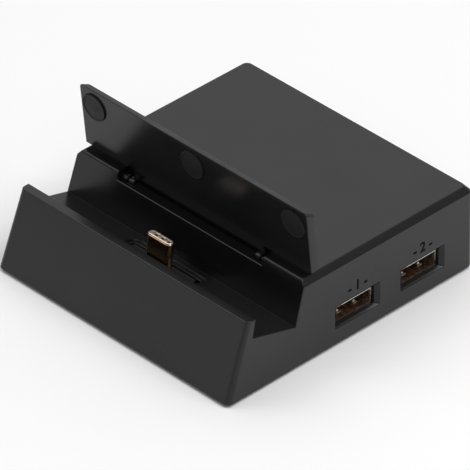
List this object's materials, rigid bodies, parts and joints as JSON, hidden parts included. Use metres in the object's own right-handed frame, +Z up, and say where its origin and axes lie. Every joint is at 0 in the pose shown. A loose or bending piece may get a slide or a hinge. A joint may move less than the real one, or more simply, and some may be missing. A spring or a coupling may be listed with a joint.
{
  "type": "usb-c docking station",
  "caption": "Desk dock for a hand-held console: slanted front lip, tilted groove with a sprung plug, folding back-rest with round pads, two side sockets.",
  "frame": {"origin": "on the floor, under the middle of the body's foot", "axes": "+Z up, front lip towards -Y, side sockets towards +X, rear sockets towards +Y"},
  "size_m": [0.083, 0.09, 0.0454],
  "materials": {
    "housing": "black moulded plastic, fine satin texture",
    "base": "black moulded plastic",
    "soft_pads": "matt black rubber",
    "screws": "plated steel",
    "plug_metal": "polished pale gold plating",
    "contacts": "gold plating",
    "socket_metal": "nickel plated sheet",
    "insulator_black": "black moulded insulator",
    "insulator_brown": "brown moulded insulator",
    "board": "green solder mask",
    "chips": "moulded chip body",
    "ribbon": "pale film"
  },
  "bodies": {
    "dock": {"upper_housing": "housing", "base_plate": "base", "base_screws": "screws", "rubber_feet": "soft_pads", "hinge_pin": "screws", "return_springs": "screws", "port_shell_front": "socket_metal", "port_shell_rear": "socket_metal", "port_tongue_front": "insulator_brown", "port_tongue_rear": "insulator_brown", "port_contacts_front": "contacts", "port_contacts_rear": "contacts", "video_shell": "socket_metal", "video_tongue": "insulator_black", "power_shell": "socket_metal", "power_tongue": "insulator_black", "main_board": "board", "board_screws": "screws", "ribbon_cable": "ribbon", "ribbon_connector": "ribbon", "video_chip": "chips", "hub_chip": "chips", "crystal_can": "socket_metal", "inductors": "chips", "capacitors": "insulator_brown"},
    "backrest": {"support_flap": "housing", "flap_pad_left": "soft_pads", "flap_pad_middle": "soft_pads", "flap_pad_right": "soft_pads"},
    "plug": {"plug_carrier": "base", "plug_shell": "plug_metal", "plug_core": "insulator_black", "plug_contacts": "contacts", "plug_board": "board"}
  },
  "joints": [
    {"name": "backrest_fold", "type": "hinge", "parent": "dock", "child": "backrest", "pos_m": [0, -0.01512, 0.0224], "axis": [1, 0, 0], "range_deg": [-17, 79]},
    {"name": "plug_tilt", "type": "hinge", "parent": "dock", "child": "plug", "pos_m": [0, -0.02885, 0.00997], "axis": [1, 0, 0], "range_deg": [-10, 4], "stiffness_Nm_per_rad": 0.02}
  ]
}
